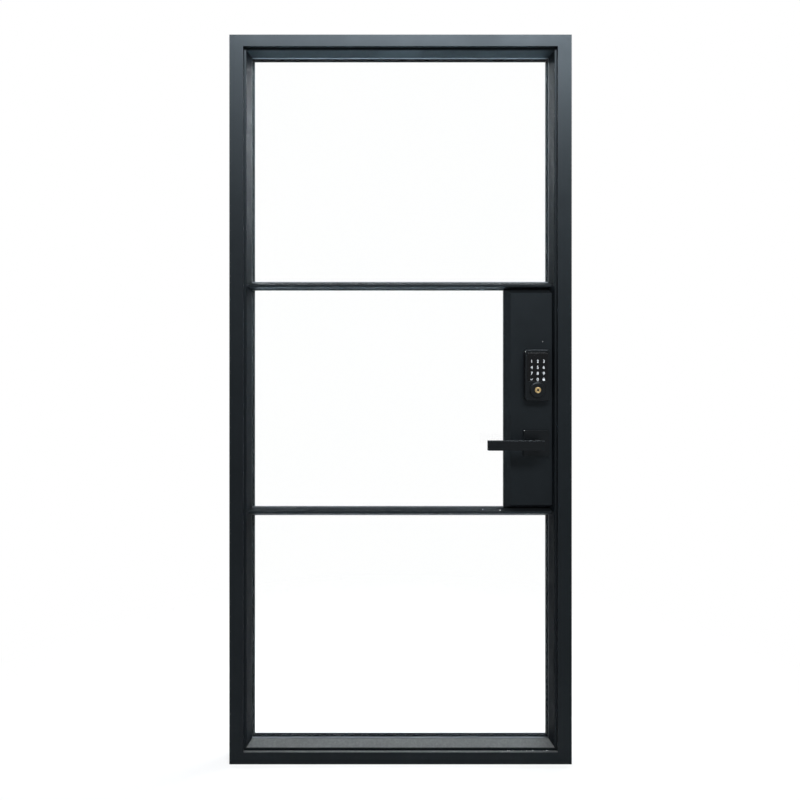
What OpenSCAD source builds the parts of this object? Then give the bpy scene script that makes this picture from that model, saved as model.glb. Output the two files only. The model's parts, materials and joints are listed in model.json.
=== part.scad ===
// Glazed steel entrance door in its welded frame: one leaf with three lites,
// a lock box, a keypad deadbolt and a lever set.
// X runs from the hinge side to the lock side, +Y points into the room, +Z is up.
// Depths below are counted from the street face of the fixed frame.

/* [Frame] */
// Overall width of the fixed frame
frame_w = 965; // [900:1:1100]
// Overall height of the fixed frame
frame_h = 2057; // [2000:1:2300]
// Width of the flat street face of each jamb
side_face = 39; // [36:0.5:44]
// Width of the flat street face of the head
head_face = 33; // [31:0.5:44]
// Height of the flat street face of the sill
sill_face = 34; // [31:0.5:44]
// How far the front lip reaches past the rebate wall
lip_overlap = 17; // [15:0.5:18]
// Depth of the front lip
lip_d = 10; // [8:0.5:14]
// Wall of the frame section
frame_wall = 2; // [1.5:0.1:2.5]
// Thickness of the weather seal on the back of the lip
seal_t = 1.7; // [1:0.1:4]
// Width of the weather seal
seal_w = 9; // [6:0.5:11]
// Gap between the leaf and the frame on all four sides
leaf_gap = 3.5; // [3:0.1:5]

/* [Leaf] */
// Thickness of the leaf
leaf_t = 50; // [48:0.5:56]
// Width of the tube in the stiles and rails
stile_w = 19; // [17:0.5:24]
// Wall of the tube in the stiles and rails
tube_wall = 2; // [1.5:0.1:3]
// Reach of the room side glazing flange past its tube
flange_w = 17; // [15:0.5:22]
// Thickness of the room side glazing flange
flange_t = 4; // [3.5:0.1:6]
// Height of the centre of the lower glazing bar above the floor
bar_lower_z = 704; // [690:1:760]
// Height of the centre of the upper glazing bar above the floor
bar_upper_z = 1351; // [1320:1:1450]
// Thickness of the web of a glazing bar
bar_t = 4; // [3:0.5:6]
// Set back of a glazing bar's front edge from the leaf face
bar_setback = 12; // [4:0.5:14]
// Width of the room side flange of a glazing bar
bar_flange_w = 19; // [18:0.5:40]
// Width of the sweep strip under the leaf
sweep_w = 14; // [8:1:30]

/* [Glazing] */
// Width of a glazing bead at the glass
bead_w = 12.1; // [10:0.1:14]
// Width of a glazing bead at its front edge
bead_nose = 1.2; // [0.8:0.1:2]
// Thickness of each glazing gasket
gasket_t = 2; // [1:0.1:3]
// Width of each glazing gasket
gasket_w = 3.8; // [3:0.1:5.6]
// Thickness of one pane of glass
pane_t = 4; // [3:0.5:6]
// Width of the space between the two panes
cavity_t = 6; // [5:0.5:8]
// Space between a pane's edge and the metal round it
edge_clear = 3; // [2:0.1:4]
// Width of the spacer bar between the panes
spacer_w = 6.5; // [6:0.1:12]
// Length of a setting block under a pane
block_l = 100; // [60:5:150]

/* [Lock box] */
// Width of the lock box, from the lock stile's tube to its free edge
box_w = 141.5; // [136:0.5:160]
// Frontal width of the bevel on the free edge of the lock box
box_bevel_side = 18; // [10:0.5:20]
// Frontal height of the bevels at the top and bottom of the lock box
box_bevel_end = 12; // [6:0.5:18]
// Set back of the lock box face from the leaf face
box_setback = 12; // [8:0.5:16]
// Sheet thickness of the lock box
box_sheet = 2; // [1.5:0.1:3]
// Reach of the room side flange beside the lock box over the glass
lock_flange_w = 10; // [9:0.5:17]
// Thickness of the room side cover of the lock box
cover_t = 2; // [1.5:0.1:4]
// Radius of the holes in the lock box for the lever set and the deadbolt
trim_bore_r = 27; // [25:0.5:28]

/* [Lock] */
// Distance from the leaf's edge to the lever and deadbolt axes
backset = 70; // [66:0.5:76]
// Height of the lever axis above the floor
lever_z = 903; // [880:1:925]
// Height of the deadbolt axis above the floor
bolt_z = 1055; // [1045:1:1080]
// Thickness of the lock cases
case_t = 14; // [13:0.5:15]
// Height of the lock cases
case_h = 70; // [50:1:72]
// Sheet thickness of the lock cases
case_wall = 1.5; // [1:0.1:1.8]
// Height of the forend plates on the leaf's edge
forend_h = 100; // [98:1:110]
// Width of the forend plates
forend_w = 20; // [18:0.5:22]
// Height of the strike plates in the jamb
strike_h = 90; // [80:1:110]
// Width of the strike plates
strike_w = 18; // [17:0.5:19]
// Height of the latch bolt
latch_h = 16; // [12:1:20]
// Thickness of the latch bolt
latch_t = 10; // [8:0.5:10]
// Travel of the latch bolt past the leaf's edge
latch_throw = 12; // [9:0.5:13]
// Height of the deadbolt
bolt_h = 18; // [12:1:24]
// Thickness of the deadbolt
bolt_t = 10; // [8:0.5:10]
// Length of the deadbolt
bolt_l = 46; // [40:1:52]

/* [Lever set] */
// Side of the square rose
rose_s = 72; // [66:1:80]
// Thickness of the rose
rose_t = 8; // [6:0.5:10]
// Reach of the lever from its axis to its free end
lever_l = 146; // [120:1:150]
// Reach of the lever past its axis on the other side
lever_tail = 13; // [12:0.5:20]
// Height of the lever's grip
lever_h = 28; // [24:1:32]
// Thickness of the lever's grip
lever_t = 11; // [8:0.5:14]
// Clear space behind the lever's grip
lever_clear = 47; // [40:1:60]
// Radius of the lever's neck
neck_r = 11; // [9:0.5:11.5]
// Side of the square spindle
spindle_s = 8; // [7:0.5:9]
// Radius of the room side knob
knob_r = 25; // [22:0.5:30]
// Thickness of the room side knob
knob_t = 24; // [18:0.5:30]
// Clear space behind the room side knob
knob_clear = 34; // [28:1:45]

/* [Keypad] */
// Width of the keypad housing
keypad_w = 71; // [68:0.5:76]
// Height of the keypad housing
keypad_h = 145; // [143:1:160]
// Depth of the keypad housing
keypad_d = 22; // [18:0.5:28]
// Corner radius of the keypad housing
keypad_r = 9; // [6:0.5:14]
// Wall of the keypad housing
keypad_wall = 4; // [3.5:0.1:5]
// Width of the touch screen
screen_w = 58; // [50:0.5:60]
// Height of the touch screen
screen_h = 83; // [70:0.5:83]
// Thickness of the touch screen
screen_t = 2.5; // [1.5:0.1:2.5]
// Margin of the housing above the touch screen
screen_margin = 7; // [6:0.5:9]
// Radius of the guard ring round the key cylinder
guard_r = 22.5; // [18:0.5:23]
// How far the guard ring stands in front of the housing
guard_proud = 4; // [2:0.5:8]
// Radius of the key cylinder
cylinder_r = 8.5; // [8:0.1:10]
// Radius of the turning plug in the key cylinder
plug_r = 6.3; // [5:0.1:6.5]

/* [Room side lock] */
// Width of the room side lock housing
inner_w = 74; // [72:0.5:84]
// Height of the room side lock housing
inner_h = 184; // [180:1:200]
// Depth of the room side lock housing
inner_d = 32; // [30:0.5:40]
// Wall of the room side lock housing
inner_wall = 3; // [2:0.1:4]
// Radius of a battery
battery_r = 7.1; // [6.5:0.1:7.2]
// Length of a battery
battery_l = 50.5; // [44:0.5:52]
// Radius of the thumb turn
turn_r = 15; // [12:0.5:20]
// Depth of the thumb turn
turn_d = 20; // [14:1:26]

/* [Hinges] */
// Radius of a hinge barrel
barrel_r = 9; // [8:0.5:11]
// Height of each half of a hinge barrel
barrel_h = 48; // [40:1:60]
// Radius of a hinge pin
pin_r = 5; // [4:0.25:5.5]
// Thickness of a hinge's welding plate
plate_t = 4; // [3:0.5:5]
// Reach of the leaf side welding plate from the hinge axis
plate_w = 31; // [22:1:36]
// Thickness of the bearing ring between the two halves
bearing_t = 2; // [1.5:0.1:4]
// Height of the middle of the bottom hinge above the floor
hinge_bottom_z = 250; // [150:1:350]
// Height of the middle of the middle hinge above the floor
hinge_middle_z = 1030; // [900:1:1150]
// Drop of the middle of the top hinge below the top of the frame
hinge_top_drop = 247; // [180:1:350]

/* [Anchor holes] */
// Number of anchor holes in each jamb
anchor_count = 4; // [2:1:4]
// Distance between anchor holes
anchor_pitch = 550; // [300:5:600]
// Height of the lowest anchor hole above the floor
anchor_first_z = 150; // [100:5:200]
// Radius of an anchor hole
anchor_r = 5; // [3:0.25:6]

/* [Hidden] */
$fn = 48;

// Clearances
seal_clear = 0.3;
bead_fit = 0.1;
mitre_gap = 0.2;
box_fit = 0.2;
plate_fit = 0.15;
turn_fit = 0.3;
pin_fit = 0.05;
hinge_clear = 0.5;
cut = 1;

// Colours
steel_colour = [0.13, 0.15, 0.17];
black_colour = [0.05, 0.05, 0.06];
hardware_colour = [0.11, 0.12, 0.14];
metal_colour = [0.62, 0.64, 0.66];
brass_colour = [0.80, 0.62, 0.30];
board_colour = [0.10, 0.30, 0.16];
glass_colour = [0.80, 0.90, 0.92, 0.35];

// Depths
leaf_y = lip_d + seal_t + seal_clear;
back_y = leaf_y + leaf_t;
flange_y = back_y - flange_t;
inner_pane_y = flange_y - gasket_t - pane_t;
cavity_y = inner_pane_y - cavity_t;
outer_pane_y = cavity_y - pane_t;
bead_y = outer_pane_y - gasket_t;
box_y = leaf_y + box_setback;
cover_y = back_y + cover_t;
lock_y = (outer_pane_y + inner_pane_y + pane_t) / 2;
frame_d = back_y;
bead_d = bead_y - leaf_y;
bead_slope = (bead_w - bead_nose) / bead_d;

// Widths and heights
side_rebate = side_face - lip_overlap;
head_rebate = head_face - lip_overlap;
sill_rebate = sill_face - lip_overlap;
leaf_x = frame_w / 2 - side_rebate - leaf_gap;
leaf_z0 = sill_rebate + leaf_gap;
leaf_z1 = frame_h - head_rebate - leaf_gap;
tube_x = leaf_x - stile_w;
rail_z0 = leaf_z0 + stile_w;
rail_z1 = leaf_z1 - stile_w;
box_x = tube_x - box_w;
box_wall_x = box_x + bead_w;
lock_x = leaf_x - backset;
rebate_x = frame_w / 2 - side_rebate;

// The three lites, as [left, right, bottom, top] of the metal round each one
lite_top = [-tube_x, tube_x, bar_upper_z + bar_t / 2, rail_z1];
lite_middle = [-tube_x, tube_x, bar_lower_z + bar_t / 2, bar_upper_z - bar_t / 2];
lite_bottom = [-tube_x, tube_x, rail_z0, bar_lower_z - bar_t / 2];
pane_middle = [-tube_x, box_wall_x, lite_middle[2], lite_middle[3]];
pane_rects = [lite_top, pane_middle, lite_bottom];

// Hinge axis
axis_x = -(frame_w / 2 - side_rebate - leaf_gap / 2);
axis_y = back_y + barrel_r + hinge_clear;
hinge_top_z = frame_h - hinge_top_drop;
hinge_heights = [hinge_bottom_z, hinge_middle_z, hinge_top_z];
pin_stop = 8;
pin_depth = barrel_h - pin_stop;

// Fasteners
screw_r = 2;
screw_head_r = 3.6;
screw_head_t = 1.6;
through_r = 2.5;
through_hole_r = through_r + pin_fit;
through_pcd_r = 24;
through_head_t = 2;
through_head_lap = 2;
post_wall = 2;

// Tabs welded behind the strikes and forends, which their screws go into
tab_t = 3;
tab_out = 5;
tab_side = 2;
tab_weld = 0.5;
strike_tab_in = 12;
forend_end = (forend_h - case_h) / 2;
forend_tab_in = forend_end - box_fit;

// Spindle and case holes
hub_r = 7;
tail_w = 7;
tail_t = 2;

function bead_width(setback) = bead_nose + (bead_d - setback) * bead_slope;
function is_bar(z) = abs(z - bar_lower_z) < bar_t || abs(z - bar_upper_z) < bar_t;
function setback_at(z) = is_bar(z) ? bar_setback : 0;

// Puts depth zero, the street face, half a frame depth in front of the origin
module placed() {
    translate([0, -frame_d / 2, 0]) children();
}

// Prism of a frontal outline between two depths
module frontal(y0, y1) {
    translate([0, y1, 0]) rotate([90, 0, 0]) linear_extrude(y1 - y0) children();
}

// A section drawn as [distance from the edge, depth], run along one edge of a rectangle
module along_left(r, over) {
    translate([r[0], 0, r[2] - over]) linear_extrude(r[3] - r[2] + 2 * over) children();
}
module along_bottom(r, over) {
    translate([r[1] + over, 0, r[2]]) rotate([0, -90, 0]) linear_extrude(r[1] - r[0] + 2 * over) children();
}
module along_right(r, over) {
    mirror([1, 0, 0]) along_left([-r[1], -r[0], r[2], r[3]], over) children();
}
module along_top(r, over) {
    translate([0, 0, r[2] + r[3]]) mirror([0, 0, 1]) along_bottom(r, over) children();
}

// Frontal outlines that trim an upright or a level member at its mitres
module upright_mitre(x0, x1, z0, z1, rise0, rise1) {
    reach = 0.3;
    run = x1 - x0;
    frontal(-cut, frame_d + cut) polygon([
        [x0 - reach * run, z0 - reach * rise0],
        [x1 + reach * run, z0 + (1 + reach) * rise0],
        [x1 + reach * run, z1 - (1 + reach) * rise1],
        [x0 - reach * run, z1 + reach * rise1]
    ]);
}
module level_mitre(x0, x1, z0, z1, run) {
    reach = 0.3;
    rise = z1 - z0;
    frontal(-cut, frame_d + cut) polygon([
        [x0 - reach * run, z0 - reach * rise],
        [x1 + reach * run, z0 - reach * rise],
        [x1 - (1 + reach) * run, z1 + reach * rise],
        [x0 + (1 + reach) * run, z1 + reach * rise]
    ]);
}

module rounded_rect(w, h, r) {
    square([w - 2 * r, h], center = true);
    square([w, h - 2 * r], center = true);
    for (sx = [-1, 1], sz = [-1, 1]) translate([sx * (w / 2 - r), sz * (h / 2 - r)]) circle(r);
}

// Round bar along +Y
module round_y(x, z, y0, y1, r) {
    translate([x, y0, z]) rotate([-90, 0, 0]) cylinder(h = y1 - y0, r = r);
}

// Box between two corners
module block(low, high) {
    translate(low) cube(high - low);
}

// Countersunk screw pointing to +X from a flush head at x = 0
module screw_x(length, clear) {
    rotate([0, 90, 0]) cylinder(h = screw_head_t, r1 = screw_head_r + clear, r2 = screw_r + clear);
    rotate([0, 90, 0]) cylinder(h = length, r = screw_r + clear);
}

// Fixed frame
module frame_section(face) {
    rebate = face - lip_overlap;
    w = frame_wall;
    difference() {
        polygon([[0, 0], [face, 0], [face, lip_d], [rebate, lip_d], [rebate, frame_d], [0, frame_d]]);
        polygon([
            [w, w], [face - w, w], [face - w, lip_d - w],
            [rebate - w, lip_d - w], [rebate - w, frame_d - w], [w, frame_d - w]
        ]);
    }
}
frame_rect = [-frame_w / 2, frame_w / 2, 0, frame_h];

module anchor_holes(x0, x1) {
    anchor_y = (lip_d + frame_d) / 2;
    for (i = [0 : anchor_count - 1])
        translate([x0, anchor_y, anchor_first_z + i * anchor_pitch])
            rotate([0, 90, 0]) cylinder(h = x1 - x0, r = anchor_r);
}
module jamb_left() {
    difference() {
        intersection() {
            along_left(frame_rect, cut) frame_section(side_face);
            upright_mitre(frame_rect[0], frame_rect[0] + side_face, 0, frame_h, sill_face, head_face);
        }
        anchor_holes(frame_rect[0] - cut, frame_rect[0] + side_rebate + cut);
    }
}
module jamb_hinge() {
    color(steel_colour) placed() jamb_left();
}
module strike_at(z) {
    translate([rebate_x, lock_y, z]) children();
}
module strike_pocket() {
    block([-cut, -strike_w / 2 - plate_fit, -strike_h / 2 - plate_fit],
        [frame_wall, strike_w / 2 + plate_fit, strike_h / 2 + plate_fit]);
}
module strike_screw_places() {
    for (s = [-1, 1]) translate([0, 0, s * (strike_h - strike_tab_in) / 2]) children();
}
// Two tabs behind a wall whose far side lies at depth wall
module tab_pair(height, width, inside, wall) {
    half_w = width / 2 - tab_side;
    half_h = height / 2;
    for (s = [0, 1]) mirror([0, 0, s])
        block([wall - tab_weld, -half_w, half_h - inside], [wall + tab_t, half_w, half_h + tab_out]);
}
module jamb_lock() {
    color(steel_colour) placed() difference() {
        union() {
            mirror([1, 0, 0]) jamb_left();
            for (z = [lever_z, bolt_z])
                strike_at(z) tab_pair(strike_h, strike_w, strike_tab_in, frame_wall);
        }
        for (z = [lever_z, bolt_z]) strike_at(z) {
            strike_pocket();
            strike_screw_places() screw_x(frame_wall + tab_t + cut, pin_fit);
        }
    }
}
module level_member(face) {
    intersection() {
        along_bottom(frame_rect, cut) frame_section(face);
        level_mitre(frame_rect[0], frame_rect[1], 0, face, side_face);
    }
}
module sill() {
    color(steel_colour) placed() level_member(sill_face);
}
module head() {
    color(steel_colour) placed() translate([0, 0, frame_h]) mirror([0, 0, 1]) level_member(head_face);
}
module frame_seal() {
    leaf_inset = 2;
    inset = leaf_gap + leaf_inset;
    x = rebate_x - inset;
    z0 = sill_rebate + inset;
    z1 = frame_h - head_rebate - inset;
    color(black_colour) placed() frontal(lip_d, lip_d + seal_t) difference() {
        translate([-x, z0]) square([2 * x, z1 - z0]);
        translate([-x + seal_w, z0 + seal_w]) square([2 * (x - seal_w), z1 - z0 - 2 * seal_w]);
    }
}
module strike(slot_t, slot_h) {
    difference() {
        block([0, -strike_w / 2, -strike_h / 2], [frame_wall, strike_w / 2, strike_h / 2]);
        block([-cut, -slot_t / 2, -slot_h / 2], [frame_wall + cut, slot_t / 2, slot_h / 2]);
        strike_screw_places() screw_x(frame_wall + cut, pin_fit);
    }
}
strike_slot_clear = 1.5;
module latch_strike() {
    color(metal_colour) placed() strike_at(lever_z)
        strike(latch_t + 2 * strike_slot_clear, latch_h + 2 * strike_slot_clear);
}
module deadbolt_strike() {
    color(metal_colour) placed() strike_at(bolt_z)
        strike(bolt_t + 2 * strike_slot_clear, bolt_h + 2 * strike_slot_clear);
}
module strike_screws() {
    color(metal_colour) placed() for (z = [lever_z, bolt_z])
        strike_at(z) strike_screw_places() screw_x(frame_wall + tab_t, 0);
}

// Hinges
module hinge_frame_half(zc) {
    top = zc - bearing_t / 2;
    color(steel_colour) placed() difference() {
        union() {
            translate([axis_x, axis_y, top - barrel_h]) cylinder(h = barrel_h, r = barrel_r);
            block([-frame_w / 2 + frame_wall, back_y, top - barrel_h], [axis_x, back_y + plate_t, top]);
        }
        translate([axis_x, axis_y, top - pin_depth]) cylinder(h = pin_depth + cut, r = pin_r + pin_fit);
    }
}
module hinge_leaf_half(zc) {
    low = zc + bearing_t / 2 + pin_fit;
    color(steel_colour) placed() difference() {
        union() {
            translate([axis_x, axis_y, low]) cylinder(h = barrel_h, r = barrel_r);
            block([axis_x, back_y, low], [axis_x + plate_w, back_y + plate_t, low + barrel_h]);
        }
        translate([axis_x, axis_y, low - cut]) cylinder(h = pin_depth + cut, r = pin_r + pin_fit);
    }
}
module hinge_bottom_frame_half() {
    hinge_frame_half(hinge_bottom_z);
}
module hinge_middle_frame_half() {
    hinge_frame_half(hinge_middle_z);
}
module hinge_top_frame_half() {
    hinge_frame_half(hinge_top_z);
}
module hinge_bottom_leaf_half() {
    hinge_leaf_half(hinge_bottom_z);
}
module hinge_middle_leaf_half() {
    hinge_leaf_half(hinge_middle_z);
}
module hinge_top_leaf_half() {
    hinge_leaf_half(hinge_top_z);
}
module hinge_pins() {
    pin_end = 0.5;
    low = bearing_t / 2 + pin_depth - pin_fit;
    high = bearing_t / 2 + pin_depth - pin_end;
    color(metal_colour) placed() for (zc = hinge_heights)
        translate([axis_x, axis_y, zc - low]) cylinder(h = low + high, r = pin_r);
}
module hinge_bearings() {
    color(brass_colour) placed() for (zc = hinge_heights)
        translate([axis_x, axis_y, zc - bearing_t / 2]) difference() {
            cylinder(h = bearing_t, r = barrel_r);
            translate([0, 0, -cut]) cylinder(h = bearing_t + 2 * cut, r = pin_r + pin_fit);
        }
}

// Leaf
leaf_rect = [-leaf_x, leaf_x, leaf_z0, leaf_z1];
leaf_member_w = stile_w + flange_w;
module leaf_section() {
    w = tube_wall;
    difference() {
        polygon([
            [0, leaf_y], [stile_w, leaf_y], [stile_w, flange_y],
            [leaf_member_w, flange_y], [leaf_member_w, back_y], [0, back_y]
        ]);
        translate([w, leaf_y + w]) square([stile_w - 2 * w, leaf_t - 2 * w]);
    }
}
module stile_left() {
    intersection() {
        along_left(leaf_rect, cut) leaf_section();
        upright_mitre(-leaf_x, -leaf_x + leaf_member_w, leaf_z0, leaf_z1, leaf_member_w, leaf_member_w);
    }
}
module stile_hinge() {
    color(steel_colour) placed() stile_left();
}
module forend_at(z) {
    translate([leaf_x, lock_y, z]) mirror([1, 0, 0]) children();
}
module forend_screw_places() {
    for (s = [-1, 1]) translate([0, 0, s * (forend_h - forend_end) / 2]) children();
}
module case_slot() {
    slot = case_t + 2 * box_fit;
    tall = case_h + 2 * box_fit;
    translate([stile_w / 2 + tube_wall, -slot / 2, -tall / 2]) cube([stile_w, slot, tall]);
}
module stile_lock() {
    color(steel_colour) placed() difference() {
        union() {
            mirror([1, 0, 0]) stile_left();
            for (z = [lever_z, bolt_z])
                forend_at(z) tab_pair(forend_h, forend_w, forend_tab_in, tube_wall);
        }
        for (z = [lever_z, bolt_z]) forend_at(z) {
            block([-cut, -forend_w / 2 - plate_fit, -forend_h / 2 - plate_fit],
                [tube_wall, forend_w / 2 + plate_fit, forend_h / 2 + plate_fit]);
            case_slot();
            forend_screw_places() screw_x(tube_wall + tab_t + cut, pin_fit);
        }
        cover_screw_places() screw_y(pin_fit);
    }
}
module rail_low() {
    intersection() {
        along_bottom(leaf_rect, cut) leaf_section();
        level_mitre(-leaf_x, leaf_x, leaf_z0, leaf_z0 + leaf_member_w, leaf_member_w);
    }
}
module rail_bottom() {
    color(steel_colour) placed() rail_low();
}
module rail_top() {
    color(steel_colour) placed() translate([0, 0, leaf_z0 + leaf_z1]) mirror([0, 0, 1]) rail_low();
}
module glazing_bar(zc) {
    front = leaf_y + bar_setback;
    root = tube_x - bead_nose;
    foot = root - bar_setback * bead_slope;
    flange_x = leaf_x - leaf_member_w;
    translate([0, 0, zc - bar_t / 2]) linear_extrude(bar_t) polygon([
        [-tube_x, leaf_y], [-root, leaf_y], [-foot, front], [foot, front],
        [root, leaf_y], [tube_x, leaf_y], [tube_x, flange_y], [-tube_x, flange_y]
    ]);
    block([-flange_x, flange_y, zc - bar_flange_w / 2], [flange_x, back_y, zc + bar_flange_w / 2]);
}
module bar_upper() {
    color(steel_colour) placed() glazing_bar(bar_upper_z);
}
module bar_lower() {
    color(steel_colour) placed() glazing_bar(bar_lower_z);
}
module door_sweep() {
    side = 2;
    room = 0.6;
    mid_y = leaf_y + leaf_t / 2;
    color(black_colour) placed() block([-leaf_x + side, mid_y - sweep_w / 2, sill_rebate + room],
        [leaf_x - side, mid_y + sweep_w / 2, leaf_z0]);
}

// Glazing
module panes(r) {
    e = edge_clear;
    color(glass_colour) placed() for (y = [outer_pane_y, inner_pane_y])
        block([r[0] + e, y, r[2] + e], [r[1] - e, y + pane_t, r[3] - e]);
}
module pane_ring(r, inset, width) {
    e = edge_clear + inset;
    difference() {
        translate([r[0] + e, r[2] + e]) square([r[1] - r[0] - 2 * e, r[3] - r[2] - 2 * e]);
        translate([r[0] + e + width, r[2] + e + width])
            square([r[1] - r[0] - 2 * (e + width), r[3] - r[2] - 2 * (e + width)]);
    }
}
module spacer_bars() {
    spacer_inset = 1;
    color(metal_colour) placed() for (r = pane_rects)
        frontal(cavity_y, inner_pane_y) pane_ring(r, spacer_inset, spacer_w);
}
module glazing_gaskets() {
    gasket_inset = 0.5;
    color(black_colour) placed() for (r = pane_rects, y = [bead_y, flange_y - gasket_t])
        frontal(y, y + gasket_t) pane_ring(r, gasket_inset, gasket_w);
}
module bead_section(setback) {
    polygon([
        [bead_fit, leaf_y + setback], [bead_nose, leaf_y + setback],
        [bead_width(setback), bead_y], [bead_fit, bead_y]
    ]);
}
// Four beads round a lite, meeting in mitres at 45 degrees
module beads(r) {
    low = setback_at(r[2]);
    high = setback_at(r[3]);
    side_w = bead_width(0);
    sight = [r[0] + side_w, r[1] - side_w, r[2] + bead_width(low), r[3] - bead_width(high)];
    over = side_w + cut;
    color(steel_colour) placed() {
        for (side = [0, 1]) intersection() {
            if (side == 0) along_left(r, 0) bead_section(0);
            else along_right(r, 0) bead_section(0);
            flip = side == 0 ? 1 : -1;
            frontal(0, frame_d) polygon([
                [sight[side] - flip * over, sight[2] + mitre_gap - over],
                [sight[side] + flip * cut, sight[2] + mitre_gap + cut],
                [sight[side] + flip * cut, sight[3] - mitre_gap - cut],
                [sight[side] - flip * over, sight[3] - mitre_gap + over]
            ]);
        }
        intersection() {
            along_bottom(r, 0) bead_section(low);
            frontal(0, frame_d) polygon([
                [sight[0] - over, sight[2] - over], [sight[1] + over, sight[2] - over],
                [sight[1] - cut, sight[2] + cut], [sight[0] + cut, sight[2] + cut]
            ]);
        }
        intersection() {
            along_top(r, 0) bead_section(high);
            frontal(0, frame_d) polygon([
                [sight[0] - over, sight[3] + over], [sight[1] + over, sight[3] + over],
                [sight[1] - cut, sight[3] - cut], [sight[0] + cut, sight[3] - cut]
            ]);
        }
    }
}
module glass_top() {
    panes(lite_top);
}
module glass_middle() {
    panes(pane_middle);
}
module glass_bottom() {
    panes(lite_bottom);
}
module beads_top() {
    beads(lite_top);
}
module beads_middle() {
    beads(lite_middle);
}
module beads_bottom() {
    beads(lite_bottom);
}
module setting_blocks() {
    color(black_colour) placed() for (r = pane_rects) {
        quarter = (r[1] - r[0]) / 4;
        for (x = [r[0] + quarter, r[1] - quarter])
            block([x - block_l / 2, outer_pane_y, r[2]],
                [x + block_l / 2, inner_pane_y + pane_t, r[2] + edge_clear]);
    }
}

// Lock box
function box_right(y) = tube_x - bead_nose - (y - leaf_y) * bead_slope - box_fit;
bar_bead_w = bead_width(bar_setback);
box_z0 = lite_middle[2] + bar_bead_w + box_fit;
box_z1 = lite_middle[3] - bar_bead_w - box_fit;
tub_x1 = tube_x - box_fit;
tub_z0 = lite_middle[2] + box_fit;
tub_z1 = lite_middle[3] - box_fit;

module box_outside() {
    intersection() {
        translate([0, 0, box_z0 - cut]) linear_extrude(box_z1 - box_z0 + 2 * cut) polygon([
            [box_x, bead_y], [box_x + box_bevel_side, box_y],
            [box_right(box_y), box_y], [box_right(bead_y), bead_y]
        ]);
        translate([tub_x1 + cut, 0, 0]) rotate([0, -90, 0]) linear_extrude(box_w + 2 * cut) polygon([
            [box_z0, bead_y], [box_z0 + box_bevel_end, box_y],
            [box_z1 - box_bevel_end, box_y], [box_z1, bead_y]
        ]);
    }
    block([box_wall_x, bead_y, tub_z0], [tub_x1, flange_y, tub_z1]);
}
module lock_box() {
    s = box_sheet;
    color(steel_colour) placed() difference() {
        box_outside();
        block([box_x + box_bevel_side + s, box_y + s, box_z0 + box_bevel_end + s],
            [box_right(bead_y) - s, flange_y + cut, box_z1 - box_bevel_end - s]);
        block([box_wall_x + s, bead_y + s, tub_z0 + s], [tub_x1 - s, flange_y + cut, tub_z1 - s]);
        for (z = [lever_z, bolt_z]) {
            round_y(lock_x, z, box_y - cut, box_y + s + cut, trim_bore_r);
            forend_at(z) case_slot();
        }
    }
}
cover_x0 = box_wall_x - lock_flange_w;
cover_lap = 6;
cover_x1 = tube_x + cover_lap;
cover_z0 = bar_lower_z - bar_flange_w / 2;
cover_z1 = bar_upper_z + bar_flange_w / 2;
cover_hold = 2.5;
cover_screw_in = 8;
cover_screw_end = 40;
box_wall_lap = 5;
module lock_stile() {
    color(steel_colour) placed() difference() {
        block([cover_x0, flange_y, bar_lower_z + bar_flange_w / 2],
            [box_wall_x + box_wall_lap, back_y, bar_upper_z - bar_flange_w / 2]);
        cover_screw_places() screw_y(pin_fit);
    }
}
// Countersunk screw pointing to -Y from the room side of the cover
module screw_y(clear) {
    rotate([0, 0, -90]) screw_x(cover_t + cover_hold, clear);
}
module cover_screw_places() {
    heights = [cover_z0 + cover_screw_end, (cover_z0 + cover_z1) / 2, cover_z1 - cover_screw_end];
    for (x = [cover_x0 + cover_screw_in, tube_x - cover_screw_in], z = heights)
        translate([x, cover_y, z]) children();
}
module lock_box_cover() {
    color(steel_colour) placed() difference() {
        block([cover_x0, back_y, cover_z0], [cover_x1, cover_y, cover_z1]);
        for (z = [lever_z, bolt_z]) round_y(lock_x, z, back_y - cut, cover_y + cut, trim_bore_r);
        cover_screw_places() screw_y(pin_fit);
    }
}
module cover_screws() {
    color(steel_colour) placed() cover_screw_places() screw_y(0);
}

// Lock cases and bolts
case_back = 17;
case_x0 = lock_x - case_back;
case_x1 = leaf_x - tube_wall;
module lock_case(z, axle_r, slot_t, slot_h) {
    w = case_wall;
    color(metal_colour) placed() translate([0, lock_y, z]) difference() {
        block([case_x0, -case_t / 2, -case_h / 2], [case_x1, case_t / 2, case_h / 2]);
        block([case_x0 + w, w - case_t / 2, w - case_h / 2], [case_x1 - w, case_t / 2 - w, case_h / 2 - w]);
        round_y(lock_x, 0, -case_t, case_t, axle_r);
        block([case_x1 - 2 * w, -slot_t / 2, -slot_h / 2], [case_x1 + cut, slot_t / 2, slot_h / 2]);
    }
}
module latch_case() {
    lock_case(lever_z, hub_r, latch_t + 2 * turn_fit, latch_h + 2 * turn_fit);
}
module deadbolt_case() {
    lock_case(bolt_z, hub_r, bolt_t + 2 * turn_fit, bolt_h + 2 * turn_fit);
}
module forend(slot_t, slot_h) {
    difference() {
        block([0, -forend_w / 2, -forend_h / 2], [tube_wall, forend_w / 2, forend_h / 2]);
        block([-cut, -slot_t / 2, -slot_h / 2], [tube_wall + cut, slot_t / 2, slot_h / 2]);
        forend_screw_places() screw_x(tube_wall + cut, pin_fit);
    }
}
module latch_forend() {
    color(metal_colour) placed() forend_at(lever_z) forend(latch_t + 2 * turn_fit, latch_h + 2 * turn_fit);
}
module deadbolt_forend() {
    color(metal_colour) placed() forend_at(bolt_z) forend(bolt_t + 2 * turn_fit, bolt_h + 2 * turn_fit);
}
module forend_screws() {
    color(metal_colour) placed() for (z = [lever_z, bolt_z])
        forend_at(z) forend_screw_places() screw_x(tube_wall + tab_t, 0);
}
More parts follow.
